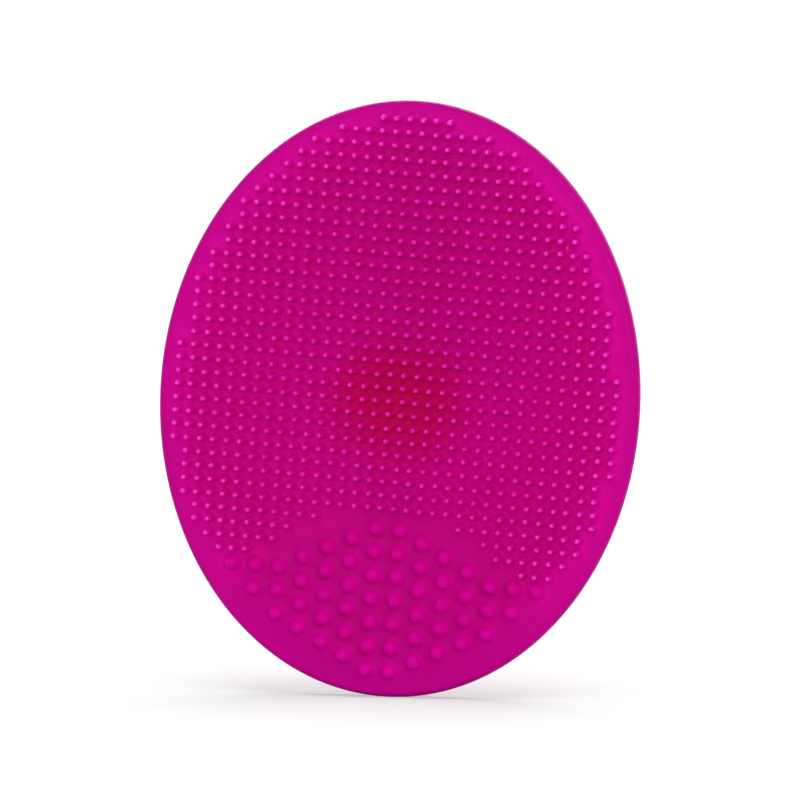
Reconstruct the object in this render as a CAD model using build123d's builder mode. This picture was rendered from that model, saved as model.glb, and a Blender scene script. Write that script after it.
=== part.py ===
from build123d import *
from math import cos, hypot, radians, sin, sqrt
import os

# One-piece silicone facial cleansing brush, modelled as its moulded regions.
# Millimetres. The brush hangs by its suction cup on a wall: the wall is the plane y = 0, the
# origin is the middle of the cup's sealing lip, the pad's long axis is Z and the bristles
# face -Y.

# ---- Oval pad ----
PAD_WIDTH = 65.0
PAD_HEIGHT = 80.0
PAD_STAND_OFF = 15.0  # wall to the back of the pad, at its middle
PLATE_THICKNESS = 1.8  # back layer
SKIN_THICKNESS = 0.8  # front layer, which carries bristles and nubs
DISH_SAG = 1.2  # the side edges stand this far forward of the middle
BACK_EDGE_RADIUS = 0.9
FRONT_EDGE_RADIUS = 0.55
LANDING_RADIUS = 8.0  # flat round seat for the foot of the neck
LANDING_RISE = 0.2

# ---- Low ribs near the edge of the pad's back ----
RIB_INSET = 1.95  # outline to the rib's centre line
RIB_WIDTH = 0.6
RIB_HEIGHT = 0.35
SIDE_RIB_HALF_ANGLE = 38.5
END_RIB_HALF_ANGLE = 10.5

# ---- Fine bristles ----
BRISTLE_PITCH = 1.79
BRISTLE_ROOT_RADIUS = 0.48
BRISTLE_TIP_RADIUS = 0.34
BRISTLE_TIP_BEVEL = 0.18
BRISTLE_HEIGHT = 3.0
BRISTLE_TOP_ROW, BRISTLE_LAST_ROW = 21, -12  # rows above and below the pad's middle
BRISTLE_COLUMNS = 34
FIELD_HALF_WIDTH = 30.1  # oval that limits the field
FIELD_HALF_HEIGHT = 38.75
FIELD_DROP = 0.35
FIELD_LOWER_RADIUS = 32.0  # rounds off the field's lower corners
NUB_ZONE_RADIUS = 25.27  # bristle-free zone, struck from the pad's lower tip

# ---- Massage nubs ----
NUB_PITCH = 3.2
NUB_RADIUS = 1.0
NUB_HEIGHT = 1.6
NUB_DOME_HEIGHT = 0.8
NUB_COLUMNS = 7  # on each side of the middle
NUB_TOP_Z = -17.2
SKIN_JOINT_RADIUS = 24.4  # seam between the bristle skin and the nub skin
SKIN_JOINT_Z = -22.3

# ---- Neck ----
NECK_RADIUS = 3.5
NECK_WAIST_RADIUS = 3.2
NECK_CUP_END = 8.0  # wall to the end of the cup's crown
NECK_PAD_END = 12.4  # wall to the top of the flared root
ROOT_RADIUS = 7.0

# ---- Suction cup ----
LIP_RADIUS = 13.5
LIP_BAND_RADIUS = 12.1  # the sealing lip lies outside this radius
LIP_FACE_INNER_RADIUS = 12.35
LIP_EDGE_THICKNESS = 0.7
DISH_DEPTH = 5.2
CROWN_RADIUS = 5.2  # the thick crown lies inside this radius
BELL_MIDDLE = (9.6, 5.0)  # radius and depth of a point on the cup's outside

SINK = 0.1  # how deep pins are rooted in the skin
PRISM_DEPTH = 30.0  # long enough to pass through the whole pad

PAD_HALF_WIDTH = PAD_WIDTH / 2
PAD_HALF_HEIGHT = PAD_HEIGHT / 2
BACK_ARC_RADIUS = (PAD_HALF_WIDTH**2 + DISH_SAG**2) / (2 * DISH_SAG)
DISH_AXIS_Y = -PAD_STAND_OFF - BACK_ARC_RADIUS
PAD_THICKNESS = PLATE_THICKNESS + SKIN_THICKNESS
LANDING_Y = -PAD_STAND_OFF + LANDING_RISE


def front_y(x):
    """The pad's front face at x: an arc about the dish's upright axis."""
    return DISH_AXIS_Y + sqrt((BACK_ARC_RADIUS - PAD_THICKNESS) ** 2 - x**2)


def dished_layer(outer_depth, inner_depth):
    """Upright slab between two arcs, at these depths below the pad's back face."""
    with BuildPart() as layer:
        with BuildSketch(Plane.XY):
            with Locations((0, DISH_AXIS_Y)):
                Circle(BACK_ARC_RADIUS - outer_depth)
                Circle(BACK_ARC_RADIUS - inner_depth, mode=Mode.SUBTRACT)
        extrude(amount=PAD_HEIGHT, both=True)
    return layer.part


def bristle_sites():
    """Points on a square grid: inside the oval field and clear of the nub zone."""
    sites = []
    for row in range(BRISTLE_LAST_ROW, BRISTLE_TOP_ROW + 1):
        z = row * BRISTLE_PITCH
        for column in range(BRISTLE_COLUMNS):
            x = (column - (BRISTLE_COLUMNS - 1) / 2) * BRISTLE_PITCH
            in_oval = hypot(x / FIELD_HALF_WIDTH, (z + FIELD_DROP) / FIELD_HALF_HEIGHT) < 1
            in_corner = z < 0 and hypot(x, z) > FIELD_LOWER_RADIUS
            in_nub_zone = hypot(x, z + PAD_HALF_HEIGHT) < NUB_ZONE_RADIUS
            if in_oval and not in_corner and not in_nub_zone:
                sites.append((x, front_y(x), z))
    return sites


def nub_sites():
    """Columns that step down by half a pitch, each one nub shorter than the last."""
    sites = []
    for step in range(NUB_COLUMNS):
        top = NUB_TOP_Z - NUB_PITCH * min(step / 2, 2)
        for side in (-1, 1):
            x = side * (step + 0.5) * NUB_PITCH
            for count in range(NUB_COLUMNS - step):
                sites.append((x, front_y(x), top - count * NUB_PITCH))
    return sites


# ---- Pad plate: the back layer, with the flat seat of the neck ----
with BuildPart() as pad_plate:
    add(dished_layer(0, PLATE_THICKNESS))
    with BuildSketch(Plane.XZ):
        Ellipse(PAD_HALF_WIDTH, PAD_HALF_HEIGHT)
    extrude(amount=PRISM_DEPTH, mode=Mode.INTERSECT)
    back_face = pad_plate.faces().sort_by(SortBy.AREA)[-2:].sort_by(Axis.Y)[-1]
    fillet(back_face.edges(), BACK_EDGE_RADIUS)
    with BuildSketch(Plane.XZ.offset(-LANDING_Y)):
        Circle(LANDING_RADIUS)
    extrude(amount=LANDING_RISE + PLATE_THICKNESS / 2)

pad_plate.part.label = "pad_plate"

# ---- Edge ribs: four low arcs just inside the outline of the back ----
with BuildPart() as edge_ribs:
    add(dished_layer(-RIB_HEIGHT, 0))
    with BuildSketch(Plane.XZ) as rib_plan:
        Ellipse(
            PAD_HALF_WIDTH - RIB_INSET + RIB_WIDTH / 2, PAD_HALF_HEIGHT - RIB_INSET + RIB_WIDTH / 2
        )
        Ellipse(
            PAD_HALF_WIDTH - RIB_INSET - RIB_WIDTH / 2,
            PAD_HALF_HEIGHT - RIB_INSET - RIB_WIDTH / 2,
            mode=Mode.SUBTRACT,
        )
        with BuildSketch(mode=Mode.INTERSECT):
            for middle, half_angle in (
                (0, SIDE_RIB_HALF_ANGLE),
                (90, END_RIB_HALF_ANGLE),
                (180, SIDE_RIB_HALF_ANGLE),
                (270, END_RIB_HALF_ANGLE),
            ):
                corners = [
                    (PAD_WIDTH * cos(radians(angle)), PAD_HEIGHT * sin(radians(angle)))
                    for angle in (middle - half_angle, middle + half_angle)
                ]
                with BuildLine():
                    Polyline((0, 0), *corners, close=True)
                make_face()
    extrude(amount=PRISM_DEPTH, mode=Mode.INTERSECT)

edge_ribs.part.label = "edge_ribs"

# ---- Front skin: the layer under the bristles and nubs, cut into two zones ----
with BuildPart() as front_skin:
    add(dished_layer(PLATE_THICKNESS, PAD_THICKNESS))
    with BuildSketch(Plane.XZ):
        Ellipse(PAD_HALF_WIDTH, PAD_HALF_HEIGHT)
    extrude(amount=PRISM_DEPTH, mode=Mode.INTERSECT)
    front_face = front_skin.faces().sort_by(SortBy.AREA)[-2:].sort_by(Axis.Y)[0]
    fillet(front_face.edges(), FRONT_EDGE_RADIUS)

with BuildPart() as nub_zone:
    with BuildSketch(Plane.XZ):
        with Locations((0, -PAD_HALF_HEIGHT)):
            Circle(SKIN_JOINT_RADIUS)
        with Locations((0, SKIN_JOINT_Z)):
            Rectangle(2 * PAD_WIDTH, PAD_HEIGHT, align=(Align.CENTER, Align.MAX))
    extrude(amount=PRISM_DEPTH)

# ---- Fine bristles: tapered pins with bevelled tips, on their part of the skin ----
with BuildPart() as bristle:
    with BuildSketch(Plane.XY):
        with BuildLine():
            Polyline(
                (0, SINK),
                (BRISTLE_ROOT_RADIUS, SINK),
                (BRISTLE_TIP_RADIUS, BRISTLE_TIP_BEVEL - BRISTLE_HEIGHT),
                (BRISTLE_TIP_RADIUS - BRISTLE_TIP_BEVEL, -BRISTLE_HEIGHT),
                (0, -BRISTLE_HEIGHT),
                close=True,
            )
        make_face()
    revolve(axis=Axis.Y)

with BuildPart() as bristle_field:
    add(front_skin.part)
    add(nub_zone.part, mode=Mode.SUBTRACT)
    with Locations(*bristle_sites()):
        add(bristle.part)

bristle_field.part.label = "bristle_field"

# ---- Massage nubs: short domed studs on the lower part of the skin ----
with BuildPart() as nub:
    with BuildSketch(Plane.XY):
        with BuildLine():
            Polyline((0, SINK), (NUB_RADIUS, SINK), (NUB_RADIUS, NUB_DOME_HEIGHT - NUB_HEIGHT))
            EllipticalCenterArc(
                (0, NUB_DOME_HEIGHT - NUB_HEIGHT),
                NUB_RADIUS,
                NUB_DOME_HEIGHT,
                start_angle=270,
                arc_size=90,
            )
            Line((0, -NUB_HEIGHT), (0, SINK))
        make_face()
    revolve(axis=Axis.Y)

with BuildPart() as nub_field:
    add(front_skin.part)
    add(nub_zone.part, mode=Mode.INTERSECT)
    with Locations(*nub_sites()):
        add(nub.part)

nub_field.part.label = "nub_field"

# ---- Neck root: flared foot of the neck ----
with BuildPart() as neck_root:
    with BuildSketch(Plane.XY):
        with BuildLine():
            Polyline(
                (ROOT_RADIUS, LANDING_Y),
                (0, LANDING_Y),
                (0, -NECK_PAD_END),
                (NECK_RADIUS, -NECK_PAD_END),
            )
            EllipticalCenterArc(
                (ROOT_RADIUS, -NECK_PAD_END),
                ROOT_RADIUS - NECK_RADIUS,
                -NECK_PAD_END - LANDING_Y,
                start_angle=180,
                arc_size=90,
            )
        make_face()
    revolve(axis=Axis.Y)

neck_root.part.label = "neck_root"

# ---- Neck: waisted stem between the root and the cup ----
with BuildPart() as neck:
    with BuildSketch(Plane.XY):
        with BuildLine():
            Polyline(
                (NECK_RADIUS, -NECK_PAD_END),
                (0, -NECK_PAD_END),
                (0, -NECK_CUP_END),
                (NECK_RADIUS, -NECK_CUP_END),
            )
            ThreePointArc(
                (NECK_RADIUS, -NECK_CUP_END),
                (NECK_WAIST_RADIUS, -(NECK_CUP_END + NECK_PAD_END) / 2),
                (NECK_RADIUS, -NECK_PAD_END),
            )
        make_face()
    revolve(axis=Axis.Y)

neck.part.label = "neck"


def cup_ring(inner_radius, outer_radius):
    """The cup's wall between two radii, as a solid of revolution."""
    with BuildPart() as ring:
        with BuildSketch(Plane.XY):
            with BuildLine():
                Line((0, -DISH_DEPTH), (0, -NECK_CUP_END))
                Line((0, -NECK_CUP_END), (NECK_RADIUS, -NECK_CUP_END))
                ThreePointArc(
                    (NECK_RADIUS, -NECK_CUP_END),
                    (BELL_MIDDLE[0], -BELL_MIDDLE[1]),
                    (LIP_RADIUS, -LIP_EDGE_THICKNESS),
                )
                Line((LIP_RADIUS, -LIP_EDGE_THICKNESS), (LIP_RADIUS, 0))
                Line((LIP_RADIUS, 0), (LIP_FACE_INNER_RADIUS, 0))
                TangentArc(
                    (0, -DISH_DEPTH), (LIP_FACE_INNER_RADIUS, 0), tangent=(1, 0)
                )
            make_face()
            with Locations(((inner_radius + outer_radius) / 2, 0)):
                Rectangle(outer_radius - inner_radius, 2 * PRISM_DEPTH, mode=Mode.INTERSECT)
        revolve(axis=Axis.Y)
    return ring.part


# ---- Suction cup: thick crown, flexible skirt and flat sealing lip ----
with BuildPart() as cup_crown:
    add(cup_ring(0, CROWN_RADIUS))

with BuildPart() as cup_skirt:
    add(cup_ring(CROWN_RADIUS, LIP_BAND_RADIUS))

with BuildPart() as cup_lip:
    add(cup_ring(LIP_BAND_RADIUS, LIP_RADIUS))

cup_crown.part.label = "cup_crown"
cup_skirt.part.label = "cup_skirt"
cup_lip.part.label = "cup_lip"

os.makedirs("parts", exist_ok=True)
export_step(pad_plate.part, "parts/pad_plate.step")
export_step(edge_ribs.part, "parts/edge_ribs.step")
export_step(bristle_field.part, "parts/bristle_field.step")
export_step(nub_field.part, "parts/nub_field.step")
export_step(neck_root.part, "parts/neck_root.step")
export_step(neck.part, "parts/neck.step")
export_step(cup_crown.part, "parts/cup_crown.step")
export_step(cup_skirt.part, "parts/cup_skirt.step")
export_step(cup_lip.part, "parts/cup_lip.step")
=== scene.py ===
"""Looks of the silicone facial cleansing brush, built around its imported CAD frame.

The brush hangs on the plane y = 0 by its suction cup. Its bristles face -Y and the long axis
of its oval pad is Z. Shapes are worked out in millimetres, and become metres with their mesh.
"""
import math

import bpy
import numpy as np
from mathutils import Matrix, Vector
from mathutils.geometry import delaunay_2d_cdt


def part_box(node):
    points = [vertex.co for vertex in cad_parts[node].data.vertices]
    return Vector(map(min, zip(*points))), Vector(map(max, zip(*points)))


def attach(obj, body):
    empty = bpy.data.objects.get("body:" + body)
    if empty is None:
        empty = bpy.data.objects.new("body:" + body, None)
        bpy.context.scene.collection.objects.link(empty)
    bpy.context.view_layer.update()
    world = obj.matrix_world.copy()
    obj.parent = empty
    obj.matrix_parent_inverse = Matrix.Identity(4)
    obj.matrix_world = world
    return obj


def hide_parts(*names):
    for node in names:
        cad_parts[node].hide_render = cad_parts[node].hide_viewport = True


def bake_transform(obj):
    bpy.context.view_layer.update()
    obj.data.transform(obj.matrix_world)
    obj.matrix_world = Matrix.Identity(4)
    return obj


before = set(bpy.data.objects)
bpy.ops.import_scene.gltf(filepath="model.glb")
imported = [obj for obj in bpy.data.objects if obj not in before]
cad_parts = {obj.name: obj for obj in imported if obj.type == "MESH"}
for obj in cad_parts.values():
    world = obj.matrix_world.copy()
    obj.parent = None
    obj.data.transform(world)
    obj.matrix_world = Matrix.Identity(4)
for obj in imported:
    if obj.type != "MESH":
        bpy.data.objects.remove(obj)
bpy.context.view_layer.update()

MM = 0.001
PLATE_LOW, PLATE_HIGH = (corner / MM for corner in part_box("pad_plate"))
NECK_LOW, NECK_HIGH = (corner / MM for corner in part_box("neck"))
LIP_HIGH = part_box("cup_lip")[1] / MM

# ---- Sizes of the pad, in millimetres ----
HALF_WIDTH = (PLATE_HIGH.x - PLATE_LOW.x) / 2
HALF_HEIGHT = (PLATE_HIGH.z - PLATE_LOW.z) / 2
THICKNESS = 2.6
DISH_SAG = 1.2  # the side edges stand this far forward of the middle
DISH_RADIUS = (HALF_WIDTH**2 + DISH_SAG**2) / (2 * DISH_SAG)
OUTLINE_STEPS = 360

LANDING_Y = PLATE_HIGH.y  # flat seat round the foot of the neck
LANDING_RISE = 0.2
LANDING_RADIUS, LANDING_END = 7.5, 9.1  # between these radii the seat slopes down to the back
LANDING_STEPS = (0.0, 0.15, 0.3, 0.45, 0.6, 0.8, 1.0)  # shares of the way down it
BACK_Y = LANDING_Y - LANDING_RISE
BACK_STEPS = (0.1, 0.22, 0.36, 0.52, 0.68, 0.84, 1.0)  # shares of the way to the ribs
BACK_END_INSET = 2.75  # where the ribs' own rings take over

RIB_INSET = 1.95
RIB_HALF_WIDTH = 0.3
RIB_HEIGHT = 0.35
SIDE_RIB_HALF_ANGLE, END_RIB_HALF_ANGLE = 38.5, 10.5  # degrees round the oval
RIB_END_FADE = 0.7
# Rings across a rib, by their distance inside its middle line.
RIB_OFFSETS = (0.45, 0.32, 0.29, 0.23, 0.13, 0.0, -0.13, -0.23, -0.29, -0.32, -0.45, -0.65)

BACK_EDGE_RADIUS = 1.15
FRONT_EDGE_RADIUS = 0.95
EDGE_STEPS = 7  # rings of each rounding
FLASH_HEIGHT = 0.05  # parting line round the edge
FLASH_STEPS = ((0.35, 0.0), (0.5, FLASH_HEIGHT), (0.65, 0.0))  # share of the wall, and height

# ---- Sizes of the bristles and nubs, in millimetres ----
BRISTLE_PITCH = 1.79
BRISTLE_HEIGHT = 3.0
BRISTLE_TOP_ROW, BRISTLE_LAST_ROW = 21, -12
BRISTLE_COLUMNS = 34
BRISTLE_LEAN = 0.05  # typical sideways wander of a bristle's tip
FIELD_HALF_WIDTH, FIELD_HALF_HEIGHT, FIELD_DROP = 30.1, 38.75, 0.35  # oval of the bristles
FIELD_LOWER_RADIUS = 32.0  # their lower half stays within this of the middle
NUB_ZONE_RADIUS = 25.27  # and all of them stay this far from the pad's lower end
NUB_PITCH = 3.2
NUB_HEIGHT = 1.6
NUB_COLUMNS = 7
NUB_TOP_Z = -17.2
SEED = 7  # of the bristles' lean and brightness

# Radius, height and shade of each ring of a pin, from above its root fillet to its tip. The
# fillet's own ring lies on the face and has the face's shade. The shades are painted: a pin's
# sides are painted lighter, against the shade that falls on them.
BRISTLE_STEPS = 12
BRISTLE_FILLET = 0.68
BRISTLE_RINGS = (
    (0.52, 0.07, 0.5), (0.45, 0.28, 0.4), (0.34, 2.64, 0.4), (0.25, 2.88, 0.5), (0.13, 2.98, 0.5),
)
NUB_STEPS = 20
NUB_FILLET = 1.36
NUB_RINGS = (
    (1.14, 0.07, 0.6), (1.02, 0.25, 0.3), (0.96, 0.75, 0.2), (0.86, 1.08, 0.35), (0.69, 1.34, 0.5),
    (0.46, 1.51, 0.6), (0.22, 1.58, 0.6),
)

# ---- Sizes of the neck and the cup, in millimetres ----
NECK_RADIUS = 3.5
NECK_WAIST_RADIUS = 3.2
NECK_MIDDLE = (NECK_LOW.y + NECK_HIGH.y) / 2
NECK_STEPS = 13  # rings of each half
ROOT_RADIUS = 7.0
ROOT_STEPS = 10
ROUND_STEPS = 144

CUP_SEAM_Y = NECK_HIGH.y + 0.6  # where the neck's skin meets the cup's
PAD_SEAM_Y = NECK_LOW.y - 0.5  # where the neck's skin meets the pad's flare
SEAM_OVERLAP = 0.15  # each skin runs on this far under its neighbour
SEAM_TUCK = 0.03
SEAM_GAP = 0.02  # each skin starts to tuck this far before the seam
PLUG = ((0.85, 0.25), (0.5, 0.45))  # share of the radius, and distance past the skin's end
PLUG_DEPTH = 0.5

LIP_RADIUS = LIP_HIGH.x
LIP_EDGE = 0.7  # thickness of the lip
LIP_TURN, LIP_TURN_STEPS = (-70, 90), 9  # the rounding of the lip's edge, in degrees
LIP_FLAT_RADIUS = 12.9  # from here to the rounding, the lip's face lies on the wall
LIP_FACE_INNER_RADIUS = 12.35
LIP_FACE_BEVEL = ((0.15, -0.01), (0.0, -0.06))  # distance outside that radius, and depth
LIP_INSET = 0.06  # of the wandering edge, on average, from the cup's full radius
LIP_WANDER = ((0.05, 3, 0.8), (0.03, 7, 0.0))  # size, waves round the lip, and phase
TRIM_FROM, TRIM_TO, TRIM_STEP = 10.5, 31.5, 1.5  # trimmed stretch of the lip, in degrees
TRIM_DEPTH = 0.4
DISH_DEPTH = 5.2
DISH_MIDDLE_RADIUS, DISH_STEPS = 0.4, 26
BELL_MIDDLE = (9.6, -5.0)  # radius and place of a point half way up the bell
BELL_FROM, BELL_TO, BELL_STEPS = -6.2, -1.2, 15
CROWN_END, CROWN_STEPS = -6.6, 5  # the crown joins the neck to the bell
CROWN_BLEND = 8  # a higher power makes a tighter corner there


def smooth(value, low, high):
    """Smooth step from 0 at low to 1 at high."""
    t = np.clip((value - low) / (high - low), 0, 1)
    return t * t * (3 - 2 * t)


def hump(distance, width):
    """1 where the distance is 0, falling off smoothly over this width."""
    return np.exp(-((distance / width) ** 2))


def sag(x):
    """How far forward of its middle the dished pad stands at x."""
    return DISH_RADIUS - np.sqrt(DISH_RADIUS**2 - np.square(x))


def front_y(x):
    return BACK_Y - THICKNESS - sag(x)


def circle(radius, count, centre=(0.0, 0.0)):
    """X and Z of points on a circle, anticlockwise as seen from the front."""
    angle = np.arange(count) * 2 * math.pi / count
    return centre[0] + radius * np.cos(angle), centre[1] + radius * np.sin(angle)


def outline(inset):
    """X and Z of points a fixed distance inside the pad's oval."""
    angle = np.arange(OUTLINE_STEPS) * 2 * math.pi / OUTLINE_STEPS
    x, z = HALF_WIDTH * np.cos(angle), HALF_HEIGHT * np.sin(angle)
    normal_x, normal_z = np.cos(angle) / HALF_WIDTH, np.sin(angle) / HALF_HEIGHT
    length = np.hypot(normal_x, normal_z)
    return x - inset * normal_x / length, z - inset * normal_z / length


class Shell:
    """One closed surface being built: its points in millimetres, its faces and its tones.

    The tones are numbers from 0 to 1 that the material reads: core (red: thick silicone over the
    neck, and over all the face a little painted bounce light among the bristles), pale (painted
    light through thin edges, and painted highlights on the ribs, the lip and the cup's dish), tip
    (painted highlights on the bristle ends that catch the light) and shade (how deep the colour
    is; on the pad mostly painted shade, and painted light where it drops).
    """

    TONES = ("core", "pale", "tip", "shade")

    def __init__(self):
        self.points, self.faces = [], []
        self.tones = {tone: [] for tone in self.TONES}

    def ring(self, x, y, z, **tones):
        """Adds points and returns their indices."""
        x, y, z = np.broadcast_arrays(x, y, z)
        first = len(self.points)
        self.points.extend(zip(x.tolist(), y.tolist(), z.tolist()))
        for tone in self.TONES:
            self.tones[tone].extend(np.broadcast_to(tones.get(tone, 0.0), x.shape).tolist())
        return list(range(first, len(self.points)))

    def band(self, one, two):
        """Quads between two anticlockwise rings. They face outwards if the second ring is the
        one further forward or, where the skin faces back, the outer one."""
        for k in range(len(one)):
            after = (k + 1) % len(one)
            self.faces.append((one[k], one[after], two[after], two[k]))

    def bands(self, rings):
        """Quads between each ring and the next."""
        for one, two in zip(rings, rings[1:]):
            self.band(one, two)

    def front_cap(self, ring, x, y, z, **tones):
        """Triangles from an anticlockwise ring to a point in front of it."""
        apex = self.ring([x], [y], [z], **tones)[0]
        for k, corner in enumerate(ring):
            self.faces.append((corner, ring[(k + 1) % len(ring)], apex))

    def back_cap(self, ring, x, y, z, **tones):
        """Triangles from an anticlockwise ring to a point behind it."""
        self.front_cap(ring[::-1], x, y, z, **tones)

    def build(self, name):
        """Makes the mesh object, in metres, with smooth faces."""
        mesh = bpy.data.meshes.new(name)
        mesh.from_pydata((np.array(self.points) * MM).tolist(), [], self.faces)
        for tone, values in self.tones.items():
            attribute = mesh.attributes.new(tone, "FLOAT", "POINT")
            attribute.data.foreach_set("value", np.array(values, np.float32))
        mesh.shade_smooth()
        mesh.update()
        piece = bpy.data.objects.new(name, mesh)
        bpy.context.scene.collection.objects.link(piece)
        return piece


# ---- Tones of the pad and the neck ----
# FACE_CORE reddens all of the face a little: painted bounce light among the bristles. SPOT_CORE
# and NECK_CORE are the red of thick silicone over the neck.
FACE_CORE, SPOT_CORE, NECK_CORE = 0.15, 0.58, 0.8
SPOT_HALF_WIDTH, SPOT_HALF_HEIGHT = 8.8, 7.9  # the red spot that the neck makes on the face
NECK_CORE_FADE = (1.8, 4.4)  # radii between which the neck's red fades out
BORDER = (0.78, 1.0)  # shares of the oval between which the pad turns into its border

# Painted shade: a dark streak runs down the back, with its middle at x = STREAK_LEAN * z +
# STREAK_X. Beside the cup it loses the share STREAK_BREAK of its tone.
STREAK_SHADE, STREAK_WIDTH = 0.42, 8.5
STREAK_LEAN, STREAK_X = 0.3, -3.5
STREAK_BREAK, STREAK_BREAK_Z, STREAK_BREAK_HEIGHT = 0.65, -2.0, 13.0
# Painted light round the cup: BACK_SHADE deepens the back everywhere except round the cup, where
# the cup's shadow falls.
BACK_SHADE = 0.1
CUP_SHADOW_Z, CUP_SHADOW_RADIUS = -4.0, 18.0

# Painted shade on the face: darker than the back, darker among the nubs and down its middle.
# Painted light on its border. SPOT_SHADE deepens the red spot in front of the neck.
FACE_SHADE, NUB_ZONE_SHADE, SPOT_SHADE, BORDER_LIGHT = 0.54, 0.25, 0.19, 0.2
NUB_ZONE_FADE = (-2.0, 1.0)  # distances from the edge of the nub zone
MIDDLE_SHADE, MIDDLE_X, MIDDLE_WIDTH = 0.05, 2.0, 14.0
UPPER_MIDDLE_SHADE, UPPER_MIDDLE_Z = 0.15, (-5.0, 15.0)  # added over these heights


def over_neck(x, z):
    """1 in front of the neck, fading to 0 a few millimetres away."""
    return hump((x / SPOT_HALF_WIDTH) ** 2 + (z / SPOT_HALF_HEIGHT) ** 2, 1.0)


def near_border(x, z):
    """0 over most of the pad, rising to 1 at its outline."""
    return smooth(np.hypot(x / HALF_WIDTH, z / HALF_HEIGHT), *BORDER)


def core_at(x, z):
    """Tone of the face: a little red, less near the border and most in front of the neck."""
    return FACE_CORE * (1 - near_border(x, z)) + SPOT_CORE * over_neck(x, z)


def core_along_neck(radius):
    """Tone of the neck and of what surrounds its ends: red where the silicone is thick."""
    return NECK_CORE * (1 - smooth(radius, *NECK_CORE_FADE))


def back_shade(x, z):
    """Painted shade: a darker streak that runs down the pad's back, a little across its axis.
    Round the cup, whose shadow darkens the pad as well, the tone is painted lighter."""
    streak = STREAK_SHADE * hump(x - (STREAK_LEAN * z + STREAK_X), STREAK_WIDTH)
    beside_cup = hump(z - STREAK_BREAK_Z, STREAK_BREAK_HEIGHT)
    round_cup = hump(np.hypot(x, z - CUP_SHADOW_Z), CUP_SHADOW_RADIUS)
    return streak * (1 - STREAK_BREAK * beside_cup) + BACK_SHADE * (1 - round_cup)


def face_shade(x, z):
    """Painted shade: the face is darker than the back, most of all among the nubs and down its
    middle. Its border is painted lighter.
    """
    past_nubs = np.hypot(x, z + HALF_HEIGHT) - NUB_ZONE_RADIUS
    middle = MIDDLE_SHADE + UPPER_MIDDLE_SHADE * smooth(z, *UPPER_MIDDLE_Z)
    return (
        FACE_SHADE
        + NUB_ZONE_SHADE * (1 - smooth(past_nubs, *NUB_ZONE_FADE))
        + SPOT_SHADE * over_neck(x, z)
        + middle * hump(x - MIDDLE_X, MIDDLE_WIDTH)
        - BORDER_LIGHT * near_border(x, z)
    )


# ---- Pad: bristles, nubs, rounded edge, ribs and the flare of the neck, as one skin ----
# Pins on the border lose part of their shade: painted light.
BORDER_PIN_LIGHT = 0.5  # share of its shade that a pin loses on the border
TIP_CORE = 0.3  # share of the face's red that is left at a pin's tip
# The tip tone is a painted highlight. It comes in near a bristle's end, and is brighter towards
# the border of the field, where more light reaches the bristles.
TIP_SPAN = (0.86, 0.97)  # part of a bristle's height over which its tip turns bright
TIP_TONE, BORDER_TIP_TONE, TIP_TONE_WANDER = 0.32, 0.5, 0.05
BORDER_TIPS = (0.6, 1.0)  # shares of the bristle field over which the painted highlights on the tips get brighter

# Painted light: a painted highlight along the ribs, and light through the thin edge painted pale
# behind its parting line. In front of that line the edge takes on painted shade like the face's.
RIB_HIGHLIGHT = 0.1
EDGE_PALE, EDGE_PALE_STARTS, EDGE_PALE_ENDS = 0.1, (0.0, 0.25), (0.9, 1.5)  # tone, and depths
EDGE_SHADE, EDGE_SHADE_STARTS = 0.7, (1.0, 2.0)


def field_share(x, z):
    """0 in the middle of the bristle field and 1 on its border."""
    return math.hypot(x / FIELD_HALF_WIDTH, (z + FIELD_DROP) / FIELD_HALF_HEIGHT)


def bristle_sites():
    sites = []
    for row in range(BRISTLE_LAST_ROW, BRISTLE_TOP_ROW + 1):
        z = row * BRISTLE_PITCH
        for column in range(BRISTLE_COLUMNS):
            x = (column - (BRISTLE_COLUMNS - 1) / 2) * BRISTLE_PITCH
            in_oval = field_share(x, z) < 1
            in_corner = z < 0 and math.hypot(x, z) > FIELD_LOWER_RADIUS
            in_nub_zone = math.hypot(x, z + HALF_HEIGHT) < NUB_ZONE_RADIUS
            if in_oval and not in_corner and not in_nub_zone:
                sites.append((x, z))
    return sites


def nub_sites():
    """Columns of nubs, each shorter than the one nearer the middle."""
    sites = []
    for step in range(NUB_COLUMNS):
        top = NUB_TOP_Z - NUB_PITCH * min(step / 2, 2)
        for x in (-(step + 0.5) * NUB_PITCH, (step + 0.5) * NUB_PITCH):
            sites.extend((x, top - count * NUB_PITCH) for count in range(NUB_COLUMNS - step))
    return sites


def pin(shell, site, fillet, rings, height, steps, lean=(0.0, 0.0), tip=0.0):
    """One bristle or nub. Returns the ring that lies on the pad's face."""
    root_y = float(front_y(site[0]))
    depth = 1 - BORDER_PIN_LIGHT * near_border(*site)
    x, z = circle(fillet, steps, site)
    loops = [shell.ring(x, front_y(x), z, core=core_at(x, z), shade=face_shade(x, z))]
    for radius, rise, shade in rings:
        up = rise / height
        x, z = circle(radius, steps, (site[0] + lean[0] * up**2, site[1] + lean[1] * up**2))
        core = core_at(x, z) * (1 - (1 - TIP_CORE) * up)
        bright = tip * smooth(up, *TIP_SPAN)
        loops.append(shell.ring(x, root_y - rise, z, core=core, shade=shade * depth, tip=bright))
    shell.bands(loops)
    end = (site[0] + lean[0], root_y - height, site[1] + lean[1])
    tones = {"core": TIP_CORE * core_at(*site), "shade": rings[-1][2] * depth, "tip": tip}
    shell.front_cap(loops[-1], *end, **tones)
    return loops[0]


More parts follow.
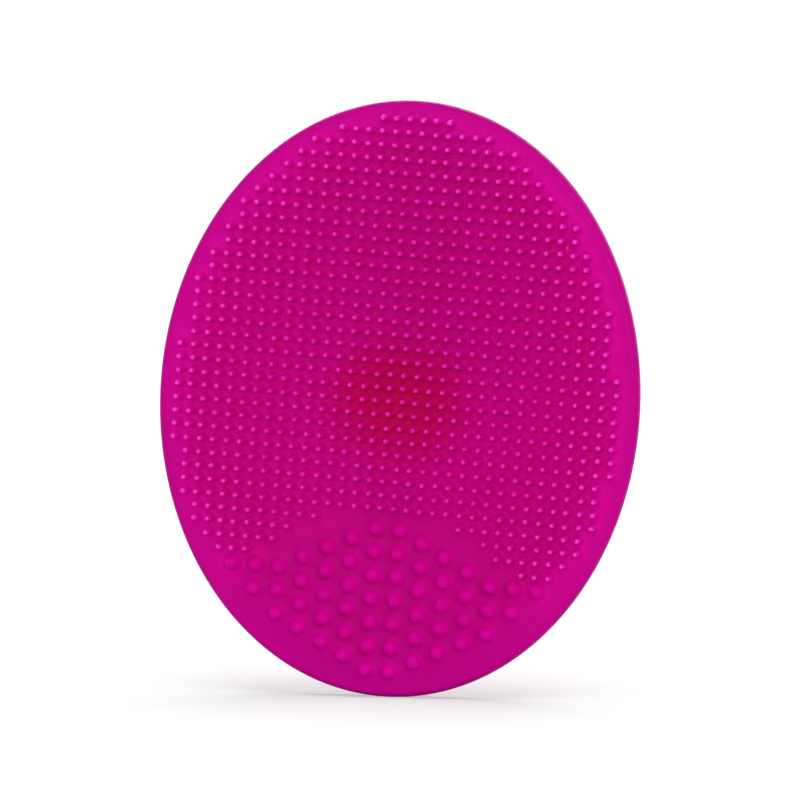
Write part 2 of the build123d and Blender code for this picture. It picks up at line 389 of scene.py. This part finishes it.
def front_face(shell, rim, feet):
    """Triangles of the pad's face between its rim and the feet of bristles and nubs."""
    convex_fill, same_point = 0, 1e-7  # the kind of result, and how near points count as one
    owners, corners, links = [], [], []
    for number, loop in enumerate([rim, *feet]):
        first = len(corners)
        for k, index in enumerate(loop):
            owners.append((number, index))
            corners.append(Vector((shell.points[index][0], shell.points[index][2])))
            links.append((first + k, first + (k + 1) % len(loop)))
    _, _, triangles, sources, _, _ = delaunay_2d_cdt(
        corners, links, [], convex_fill, same_point, True
    )
    for triangle in triangles:
        loops_met, indices = zip(*(owners[sources[k][0]] for k in triangle))
        fills_a_foot = len(set(loops_met)) == 1 and loops_met[0] > 0
        if not fills_a_foot:
            shell.faces.append(indices)


def rib_height(x, z, inset):
    """Height of the four low arc ribs at points this far inside the outline."""
    angle = np.degrees(np.arctan2(z / HALF_HEIGHT, x / HALF_WIDTH))
    from_side = np.abs((angle + 90) % 180 - 90)
    from_end = np.abs(angle % 180 - 90)
    side, end = (
        1 - smooth(away, half_angle - RIB_END_FADE, half_angle + RIB_END_FADE)
        for away, half_angle in ((from_side, SIDE_RIB_HALF_ANGLE), (from_end, END_RIB_HALF_ANGLE))
    )
    across = np.clip(1 - ((inset - RIB_INSET) / RIB_HALF_WIDTH) ** 2, 0, 1)
    return RIB_HEIGHT * np.maximum(side, end) * np.sqrt(across)


def edge_profile():
    """Inset and depth of the rounded edge with its parting line, from the back to the front."""
    wall = THICKNESS - BACK_EDGE_RADIUS - FRONT_EDGE_RADIUS
    quarter = np.radians(np.linspace(0, 90, EDGE_STEPS))
    profile = [
        (BACK_EDGE_RADIUS * (1 - math.sin(turn)), BACK_EDGE_RADIUS * (1 - math.cos(turn)))
        for turn in quarter
    ]
    for share, height in FLASH_STEPS:
        profile.append((-height, BACK_EDGE_RADIUS + wall * share))
    for turn in quarter:
        depth = THICKNESS - FRONT_EDGE_RADIUS * (1 - math.sin(turn))
        profile.append((FRONT_EDGE_RADIUS * (1 - math.cos(turn)), depth))
    return profile


def pad_back(shell):
    """Rings of the pad's back, from the flare of the neck out to the rounded edge."""
    rings = []
    for y in np.linspace(PAD_SEAM_Y - SEAM_GAP, LANDING_Y, ROOT_STEPS):
        radius = neck_radius(y)
        x, z = circle(radius, OUTLINE_STEPS)
        rings.append(shell.ring(x, y, z, core=core_along_neck(radius)))
    for share in LANDING_STEPS:
        x, z = circle(LANDING_RADIUS + (LANDING_END - LANDING_RADIUS) * share, OUTLINE_STEPS)
        y = LANDING_Y - smooth(share, 0, 1) * (LANDING_RISE + sag(x))
        rings.append(shell.ring(x, y, z, shade=back_shade(x, z)))
    inner_x, inner_z = circle(LANDING_END, OUTLINE_STEPS)
    outer_x, outer_z = outline(BACK_END_INSET)
    for share in BACK_STEPS:
        x, z = inner_x + (outer_x - inner_x) * share, inner_z + (outer_z - inner_z) * share
        rings.append(shell.ring(x, BACK_Y - sag(x), z, shade=back_shade(x, z)))
    for offset in RIB_OFFSETS:
        x, z = outline(RIB_INSET + offset)
        rib = rib_height(x, z, RIB_INSET + offset)
        tones = {"shade": back_shade(x, z), "pale": RIB_HIGHLIGHT * rib / RIB_HEIGHT}
        rings.append(shell.ring(x, BACK_Y - sag(x) + rib, z, **tones))
    return rings


def pad_edge(shell):
    """Rings of the pad's rounded edge, from the back to the front."""
    rings = []
    for inset, depth in edge_profile():
        x, z = outline(inset)
        pale = EDGE_PALE * smooth(depth, *EDGE_PALE_STARTS) * (1 - smooth(depth, *EDGE_PALE_ENDS))
        shade = EDGE_SHADE * smooth(depth, *EDGE_SHADE_STARTS)
        rings.append(shell.ring(x, BACK_Y - sag(x) - depth, z, pale=pale, shade=shade))
    return rings


def build_pad():
    shell = Shell()
    rings = pad_back(shell) + pad_edge(shell)
    shell.bands(rings)

    inside = rings[0]
    *plug, (_, end) = plug_behind(PAD_SEAM_Y)
    for radius, y in plug:
        x, z = circle(radius, OUTLINE_STEPS)
        ring = shell.ring(x, y, z, core=core_along_neck(radius))
        shell.band(ring, inside)
        inside = ring
    shell.back_cap(inside, 0.0, end, 0.0)

    feet = []
    rng = np.random.default_rng(SEED)
    bristle = (BRISTLE_FILLET, BRISTLE_RINGS, BRISTLE_HEIGHT, BRISTLE_STEPS)
    for site in bristle_sites():
        lean = rng.normal(0, BRISTLE_LEAN, 2)
        tip = TIP_TONE + BORDER_TIP_TONE * smooth(field_share(*site), *BORDER_TIPS)
        tip += rng.normal(0, TIP_TONE_WANDER)
        feet.append(pin(shell, site, *bristle, lean, tip))
    for site in nub_sites():
        feet.append(pin(shell, site, NUB_FILLET, NUB_RINGS, NUB_HEIGHT, NUB_STEPS))
    front_face(shell, rings[-1], feet)
    return shell.build("brush_pad")


# ---- Neck and cup: surfaces of revolution about Y ----
def turned(shell, profile, tones_at, radius_at=None):
    """Revolves (radius, y) points, which start in front, and closes both ends on the axis.

    tones_at(radii, y, angles) gives the tones of a ring, and radius_at(radius, y, angles) its
    radii where it isn't round.
    """
    angle = np.arange(ROUND_STEPS) * 2 * math.pi / ROUND_STEPS
    rings = []
    for radius, y in profile[1:-1]:
        radii = np.full(ROUND_STEPS, radius) if radius_at is None else radius_at(radius, y, angle)
        x, z = radii * np.cos(angle), radii * np.sin(angle)
        rings.append(shell.ring(x, y, z, **tones_at(radii, y, angle)))
    for one, two in zip(rings, rings[1:]):
        shell.band(two, one)
    for cap, ring, (radius, y) in (
        (shell.front_cap, rings[0], profile[0]),
        (shell.back_cap, rings[-1], profile[-1]),
    ):
        cap(ring, 0.0, y, 0.0, **tones_at(radius, y, 0.0))


def circle_through(a, b, c):
    """Centre and radius of the circle through three points."""
    (ax, ay), (bx, by), (cx, cy) = a, b, c
    d = 2 * (ax * (by - cy) + bx * (cy - ay) + cx * (ay - by))
    sa, sb, sc = ax**2 + ay**2, bx**2 + by**2, cx**2 + cy**2
    ux = (sa * (by - cy) + sb * (cy - ay) + sc * (ay - by)) / d
    uy = (sa * (cx - bx) + sb * (ax - cx) + sc * (bx - ax)) / d
    return ux, uy, math.hypot(ax - ux, ay - uy)


BELL_X, BELL_Y, BELL_RADIUS = circle_through(
    (NECK_RADIUS, NECK_HIGH.y), BELL_MIDDLE, (LIP_RADIUS, -LIP_EDGE)
)


def bell_radius(y):
    """Outside radius of the cup's bell at this depth."""
    return BELL_X + math.sqrt(max(BELL_RADIUS**2 - (y - BELL_Y) ** 2, 0.0))


def neck_radius(y):
    """Radius of the skin from the pad's flare, through the neck's waist, to the cup's bell."""
    if y < NECK_LOW.y:
        fall = (y - NECK_LOW.y) / (LANDING_Y - NECK_LOW.y)
        return ROOT_RADIUS - (ROOT_RADIUS - NECK_RADIUS) * math.sqrt(max(1 - fall**2, 0.0))
    stem = NECK_RADIUS
    if y < NECK_HIGH.y:
        swing = math.cos(math.pi * (y - NECK_MIDDLE) / (NECK_HIGH.y - NECK_MIDDLE))
        stem = NECK_WAIST_RADIUS + (NECK_RADIUS - NECK_WAIST_RADIUS) * (1 - swing) / 2
    bell = bell_radius(y) if y > BELL_Y - BELL_RADIUS else 0.0
    return (stem**CROWN_BLEND + bell**CROWN_BLEND) ** (1 / CROWN_BLEND)


def plug_behind(seam_y, way=1):
    """Profile points that close a skin past its seam, tucked under its neighbour."""
    edge = seam_y + way * SEAM_OVERLAP
    radius = neck_radius(edge) - SEAM_TUCK
    steps = [(radius * share, edge + way * distance) for share, distance in PLUG]
    return [(radius, edge), *steps, (0.0, edge + way * PLUG_DEPTH)]


def plug_in_front(seam_y):
    return plug_behind(seam_y, -1)[::-1]


def build_neck(name, low, high):
    """One half of the neck's skin, closed at both ends under its neighbours."""
    shell = Shell()
    places = np.linspace(low + SEAM_GAP, high - SEAM_GAP, NECK_STEPS)
    profile = plug_in_front(low) + [(neck_radius(y), y) for y in places] + plug_behind(high)
    turned(shell, profile, lambda radii, y, angle: {"core": core_along_neck(radii)})
    return shell.build(name)


# The stretch of skin over which the lip starts to wander: radii less the lip's, and depths.
LIP_STRETCH, LIP_STRETCH_Y = (-1.0, -0.1), (-2.5, -0.6)

# The lip's pale band, painted light through the thin lip: its width, how much wider it is at
# the top (tilt) and at the top and the bottom both (oval), where its inner border fades, and
# its tone away from the light and, added to that, towards it.
BAND_WIDTH, BAND_TILT, BAND_OVAL = 1.22, 0.19, 0.3
BAND_FADE = (-0.45, 0.3)
BAND_PALE, BAND_PALE_IN_LIGHT = 0.38, 0.42
LIGHT_ANGLE = math.radians(68)
# A painted highlight, a paler line on its very edge: radii less the lip's, its tone, and how much
# more on one side.
LINE_FADE, LIP_LINE_HIGHLIGHT, LINE_TILT = (-0.4, -0.2), 0.15, 0.13

# A faint painted highlight low in the cup's dish: its tone, place and size.
DISH_HIGHLIGHT_PALE = 0.045
DISH_HIGHLIGHT_X, DISH_HIGHLIGHT_Z, DISH_HIGHLIGHT_WIDTH, DISH_HIGHLIGHT_HEIGHT = 0.5, -7.0, 4.0, 1.6
DISH_FLOOR = -DISH_DEPTH - 0.1  # all of the dish is above this
CUP_SHADE, CUP_CORE_SHADE = 0.1, 0.15


def lip_radius(radius, y, angle):
    """The lip's outer edge wanders a little, and one stretch of it was trimmed."""
    degrees = np.degrees(angle)
    trim_starts = smooth(degrees, TRIM_FROM - TRIM_STEP, TRIM_FROM)
    trim_ends = smooth(degrees, TRIM_TO, TRIM_TO + TRIM_STEP)
    wander = sum(size * np.sin(waves * angle + phase) for size, waves, phase in LIP_WANDER)
    at_lip = smooth(radius - LIP_RADIUS, *LIP_STRETCH) * smooth(y, *LIP_STRETCH_Y)
    return radius - at_lip * (TRIM_DEPTH * (trim_starts - trim_ends) + LIP_INSET + wander)


def cup_tones(radii, y, angle):
    """The lip is thin and pale, with painted light through it and a painted highlight on its edge;
    the middle over the neck is thick and red, and the dish has a faint painted highlight."""
    width = BAND_WIDTH + BAND_TILT * np.sin(angle) - BAND_OVAL * np.cos(2 * angle)
    towards_light = np.maximum(np.cos(angle - LIGHT_ANGLE), 0) ** 2
    band = BAND_PALE + BAND_PALE_IN_LIGHT * towards_light
    band = band * smooth(radii - (LIP_RADIUS - width), *BAND_FADE)
    line = LIP_LINE_HIGHLIGHT + LINE_TILT * np.cos(angle)
    line = line * smooth(radii - LIP_RADIUS, *LINE_FADE)
    x, z = radii * np.cos(angle), radii * np.sin(angle)
    in_dish = y > DISH_FLOOR
    dish_highlight = in_dish * hump(x - DISH_HIGHLIGHT_X, DISH_HIGHLIGHT_WIDTH) * hump(z - DISH_HIGHLIGHT_Z, DISH_HIGHLIGHT_HEIGHT)
    core = core_along_neck(radii)
    shade = CUP_SHADE + CUP_CORE_SHADE * core
    return {"pale": band + line + DISH_HIGHLIGHT_PALE * dish_highlight, "core": core, "shade": shade}


def build_cup():
    shell = Shell()
    profile = plug_in_front(CUP_SEAM_Y)
    crown = np.linspace(CUP_SEAM_Y + SEAM_GAP, CROWN_END, CROWN_STEPS)
    profile += [(neck_radius(y), y) for y in crown]
    profile += [(bell_radius(y), y) for y in np.linspace(BELL_FROM, BELL_TO, BELL_STEPS)]
    round_off = LIP_EDGE / 2
    for turn in np.radians(np.linspace(*LIP_TURN, LIP_TURN_STEPS)):
        radius = LIP_RADIUS - round_off * (1 - math.cos(turn))
        profile.append((radius, -round_off + round_off * math.sin(turn)))
    profile.append((LIP_FLAT_RADIUS, 0.0))
    profile += [(LIP_FACE_INNER_RADIUS + outside, y) for outside, y in LIP_FACE_BEVEL]
    dish_radius = (LIP_FACE_INNER_RADIUS**2 + DISH_DEPTH**2) / (2 * DISH_DEPTH)
    dish_edge = LIP_FACE_INNER_RADIUS - LIP_FACE_BEVEL[0][0]
    for radius in (*np.linspace(dish_edge, DISH_MIDDLE_RADIUS, DISH_STEPS), 0.0):
        profile.append((radius, -DISH_DEPTH + dish_radius - math.sqrt(dish_radius**2 - radius**2)))
    turned(shell, profile, cup_tones, lip_radius)
    return shell.build("suction_cup")


# ---- Silicone ----
MAGENTA = (0.79, 0.0, 0.43)
CLOUD_MAGENTA = (0.72, 0.0, 0.365)
CORE_RED = (0.78, 0.0, 0.07)
SHADE = (0.55, 0.5, 0.475)  # what full shade leaves of a colour
# The tip pink is the colour of the painted highlights on the bristle tips. The pale pink is the
# colour of the painted light through thin edges and of the painted highlights on the ribs, the lip
# and the dish.
TIP_HIGHLIGHT_PINK = (1.0, 0.06, 0.60)
PALE_PINK = (0.85, 0.22, 0.62)
LINT = (0.92, 0.50, 0.80)
SHEEN_TINT = (1.0, 0.12, 0.6)

# Noises: features to a millimetre, detail and roughness. Reliefs: depth in millimetres and
# strength. Specks: cells to a millimetre, and size of the dot in its cell.
CLOUD_NOISE, CLOUD_RANGE, CLOUD_STRENGTH = (0.09, 3.0, 0.5), (0.35, 0.65), 0.25
GRAIN_NOISE, GRAIN_RANGE, GRAIN_RELIEF = (2.4, 3.0, 0.6), (0.3, 0.7), (0.012, 0.6)
RIPPLE_NOISE, RIPPLE_RELIEF = (0.35, 2.0, 0.5), (0.05, 0.5)
LINT_SPECKS, LINT_STRENGTH = (0.16, 0.02), 0.4
PAD_ROUGHNESS, CUP_ROUGHNESS = 0.46, 0.38
ROUGHNESS_CHANGE = (-0.06, 0.08)  # from the smoothest of the grain to the roughest
SCATTER_RADIUS, SCATTER_SHARES = 0.7, (1.0, 0.12, 0.55)  # millimetres, and red, green, blue

# Sockets of the Mix node's colour mode, whose names it shares with its other modes.
MIX_COLOUR_A, MIX_COLOUR_B, MIX_COLOUR_RESULT = 6, 7, 2


class Nodes:
    """Adds and links the nodes of one material."""

    def __init__(self, name):
        self.material = bpy.data.materials.new(name)
        self.material.use_nodes = True
        self.tree = self.material.node_tree
        self.shader = self.tree.nodes["Principled BSDF"]

    def add(self, kind, **inputs):
        """A new node, with inputs set by name, where an underscore stands for a space."""
        node = self.tree.nodes.new(kind)
        for name, value in inputs.items():
            self.feed(node.inputs[name.replace("_", " ")], value)
        return node

    def feed(self, target, value):
        """Sets a socket to a number or a colour, or links another socket to it."""
        if isinstance(value, bpy.types.NodeSocket):
            self.tree.links.new(value, target)
        elif isinstance(value, tuple):
            target.default_value = (*value, 1.0) if len(target.default_value) == 4 else value
        else:
            target.default_value = value

    def tone(self, name):
        """One of the mesh's tones."""
        node = self.add("ShaderNodeAttribute")
        node.attribute_name = name
        return node.outputs["Fac"]

    def noise(self, per_mm, detail, roughness):
        """Noise with this many features to a millimetre."""
        place = self.add("ShaderNodeTexCoord").outputs["Object"]
        node = self.add("ShaderNodeTexNoise", Vector=place, Scale=per_mm / MM)
        self.feed(node.inputs["Detail"], detail)
        self.feed(node.inputs["Roughness"], roughness)
        return node.outputs["Fac"]

    def specks(self, per_mm, size):
        """Sparse dots: 1 inside a dot of this share of a cell, 0 outside."""
        place = self.add("ShaderNodeTexCoord").outputs["Object"]
        node = self.add("ShaderNodeTexVoronoi", Vector=place, Scale=per_mm / MM)
        return self.spread(node.outputs["Distance"], (size, size * 0.6), (0.0, 1.0))

    def spread(self, value, before, after):
        """The value, moved smoothly from one range to another."""
        node = self.add("ShaderNodeMapRange", Value=value)
        for name, number in zip(("From Min", "From Max", "To Min", "To Max"), (*before, *after)):
            self.feed(node.inputs[name], number)
        node.interpolation_type = "SMOOTHSTEP"
        return node.outputs["Result"]

    def mix(self, factor, one, two, blend="MIX"):
        node = self.add("ShaderNodeMix", Factor=factor)
        node.data_type = "RGBA"
        node.blend_type = blend
        self.feed(node.inputs[MIX_COLOUR_A], one)
        self.feed(node.inputs[MIX_COLOUR_B], two)
        return node.outputs[MIX_COLOUR_RESULT]

    def times(self, one, two):
        node = self.add("ShaderNodeMath")
        node.operation = "MULTIPLY"
        self.feed(node.inputs[0], one)
        self.feed(node.inputs[1], two)
        return node.outputs["Value"]

    def bump(self, height, depth_mm, strength, **below):
        """The normal of a relief this deep, on top of another normal if one is given."""
        node = self.add("ShaderNodeBump", Height=height, Strength=strength, **below)
        self.feed(node.inputs["Distance"], depth_mm * MM)
        return node.outputs["Normal"]


def silicone(name, roughness):
    """Translucent moulded silicone with a fine matte skin and a little lint."""
    nodes = Nodes(name)
    cloud = nodes.spread(nodes.noise(*CLOUD_NOISE), CLOUD_RANGE, (0.0, CLOUD_STRENGTH))
    lint = nodes.times(nodes.specks(*LINT_SPECKS), LINT_STRENGTH)
    colour = nodes.mix(cloud, MAGENTA, CLOUD_MAGENTA)
    colour = nodes.mix(nodes.tone("core"), colour, CORE_RED)
    # The shade, tip and pale tones paint shade, highlights and light into the colour.
    colour = nodes.mix(nodes.tone("shade"), colour, SHADE, "MULTIPLY")
    colour = nodes.mix(nodes.tone("tip"), colour, TIP_HIGHLIGHT_PINK)
    colour = nodes.mix(nodes.tone("pale"), colour, PALE_PINK)
    colour = nodes.mix(lint, colour, LINT)
    grain = nodes.noise(*GRAIN_NOISE)
    roughnesses = [roughness + change for change in ROUGHNESS_CHANGE]
    ripple = nodes.bump(nodes.noise(*RIPPLE_NOISE), *RIPPLE_RELIEF)
    for socket, value in (
        ("Base Color", colour),
        ("Roughness", nodes.spread(grain, GRAIN_RANGE, roughnesses)),
        ("Normal", nodes.bump(grain, *GRAIN_RELIEF, Normal=ripple)),
        ("IOR", 1.41),
        ("Specular IOR Level", 0.25),
        ("Specular Tint", SHEEN_TINT),
        ("Subsurface Weight", 1.0),
        ("Subsurface Radius", SCATTER_SHARES),
        ("Subsurface Scale", SCATTER_RADIUS * MM),
    ):
        nodes.feed(nodes.shader.inputs[socket], value)
    return nodes.material


pad = build_pad()
pad.data.materials.append(silicone("silicone_pad", PAD_ROUGHNESS))
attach(pad, "pad")
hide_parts("pad_plate", "edge_ribs", "bristle_field", "nub_field")

cup_silicone = silicone("silicone_cup", CUP_ROUGHNESS)
lower = build_neck("neck_lower", PAD_SEAM_Y, NECK_MIDDLE)
lower.data.materials.append(cup_silicone)
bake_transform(lower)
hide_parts("neck_root")

upper = build_neck("neck_upper", NECK_MIDDLE, CUP_SEAM_Y)
upper.data.materials.append(cup_silicone)
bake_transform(upper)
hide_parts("neck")

cup = build_cup()
cup.data.materials.append(cup_silicone)
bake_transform(cup)
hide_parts("cup_crown", "cup_skirt", "cup_lip")


# ---- Camera ----
CAMERA_AZIMUTH, CAMERA_ELEVATION, CAMERA_ROLL = map(math.radians, (10.0, 5.0, 4.4))
CAMERA_DISTANCE = 0.67  # metres, as all lengths from here on
FRAME_WIDTH = 0.107  # width of the picture at the pad
SENSOR_WIDTH = 36.0  # millimetres, as Blender's camera has it


def towards(azimuth, elevation):
    """Direction from the object to a place seen at these angles; azimuth 0 is in front."""
    level = math.cos(elevation)
    return Vector((math.sin(azimuth) * level, -math.cos(azimuth) * level, math.sin(elevation)))


def facing(away, upward):
    """Rotation of a camera or lamp whose back looks along away."""
    side = upward.cross(away).normalized()
    return Matrix((side, away.cross(side), away)).transposed().to_quaternion()


def put(name, data, location, rotation):
    thing = bpy.data.objects.new(name, data)
    thing.location = location
    thing.rotation_mode = "QUATERNION"
    thing.rotation_quaternion = rotation
    bpy.context.scene.collection.objects.link(thing)
    return thing


centre = Vector((0.0, (BACK_Y - THICKNESS / 2) * MM, 0.0))
away = towards(CAMERA_AZIMUTH, CAMERA_ELEVATION)
level_right = Vector((0, 0, 1)).cross(away).normalized()
upright = away.cross(level_right)
leaning = upright * math.cos(CAMERA_ROLL) - level_right * math.sin(CAMERA_ROLL)
camera_data = bpy.data.cameras.new("camera")
camera_data.sensor_width = SENSOR_WIDTH
camera_data.lens = SENSOR_WIDTH * CAMERA_DISTANCE / FRAME_WIDTH
camera = put("camera", camera_data, centre + away * CAMERA_DISTANCE, facing(away, leaning))
bpy.context.scene.camera = camera

# ---- Floor: level in the picture, under the lowest point of the oval ----
FLOOR_REACH = 3.0
FLOOR_WHITE = 0.23
FLOOR_GLOW = 0.50  # what the camera sees on top of that

floor_up = leaning * math.cos(CAMERA_ELEVATION) + away * math.sin(CAMERA_ELEVATION)
floor_right = leaning.cross(away).normalized()
floor_depth = floor_up.cross(floor_right)
lowest = min(floor_up.dot(Vector((x * MM, centre.y, z * MM))) for x, z in zip(*outline(0.0)))
corners = [
    floor_up * lowest + (floor_right * right + floor_depth * deep) * FLOOR_REACH
    for right, deep in ((-1, -1), (1, -1), (1, 1), (-1, 1))
]
floor_mesh = bpy.data.meshes.new("floor")
floor_mesh.from_pydata([tuple(corner) for corner in corners], [], [(0, 1, 2, 3)])
floor = bpy.data.objects.new("floor", floor_mesh)
bpy.context.scene.collection.objects.link(floor)


def floor_white():
    """Matte white that the camera sees a little brighter than it is, and not from below."""
    nodes = Nodes("floor_white")
    seen = nodes.add("ShaderNodeLightPath").outputs["Is Camera Ray"]
    below = nodes.add("ShaderNodeNewGeometry").outputs["Backfacing"]
    for socket, value in (
        ("Base Color", (FLOOR_WHITE,) * 3),
        ("Roughness", 0.9),
        ("Specular IOR Level", 0.0),
        ("Emission Color", (1.0, 1.0, 1.0)),
        ("Emission Strength", nodes.times(seen, FLOOR_GLOW)),
    ):
        nodes.feed(nodes.shader.inputs[socket], value)
    clear = nodes.add("ShaderNodeBsdfTransparent")
    choose = nodes.add("ShaderNodeMixShader", Fac=nodes.times(seen, below))
    nodes.feed(choose.inputs[1], nodes.shader.outputs["BSDF"])
    nodes.feed(choose.inputs[2], clear.outputs["BSDF"])
    nodes.feed(nodes.tree.nodes["Material Output"].inputs["Surface"], choose.outputs["Shader"])
    return nodes.material


floor_mesh.materials.append(floor_white())


# ---- Lights: wide soft lamps far away, and a white room ----
# Name, azimuth and elevation in degrees, strength, spread in degrees, and what it shines on.
BRUSH, FLOOR = (pad, lower, upper, cup), (floor,)
LAMPS = (
    ("front", 10, 12, 2.65, 50, BRUSH),
    ("back", 182, 15, 2.58, 70, BRUSH),
    ("left", -90, 25, 0.5, 90, BRUSH),
    ("right", 90, 25, 0.5, 90, BRUSH),
    ("over_floor", 0, 89, 7.15, 60, FLOOR),
)
ROOM_LIGHT, ROOM_SEEN = 0.25, 1.05  # brightness for the object, and for the camera

for name, azimuth, elevation, strength, spread, lit in LAMPS:
    lamp_data = bpy.data.lights.new(name, "SUN")
    lamp_data.energy = strength
    lamp_data.angle = math.radians(spread)
    direction = towards(math.radians(azimuth), math.radians(elevation))
    lamp = put(name, lamp_data, direction, facing(direction, Vector((0, 0, 1))))
    lamp.light_linking.receiver_collection = bpy.data.collections.new(f"{name}_lights")
    for thing in lit:
        lamp.light_linking.receiver_collection.objects.link(thing)


def white_room():
    world = bpy.data.worlds.new("studio")
    world.use_nodes = True
    tree = world.node_tree
    room = tree.nodes["Background"]
    room.inputs["Color"].default_value = (1.0, 1.0, 1.0, 1.0)
    path = tree.nodes.new("ShaderNodeLightPath")
    brightness = tree.nodes.new("ShaderNodeMapRange")
    brightness.inputs["To Min"].default_value = ROOM_LIGHT
    brightness.inputs["To Max"].default_value = ROOM_SEEN
    tree.links.new(path.outputs["Is Camera Ray"], brightness.inputs["Value"])
    tree.links.new(brightness.outputs["Result"], room.inputs["Strength"])
    return world


bpy.context.scene.world = white_room()
bpy.context.scene.view_settings.view_transform = "Standard"
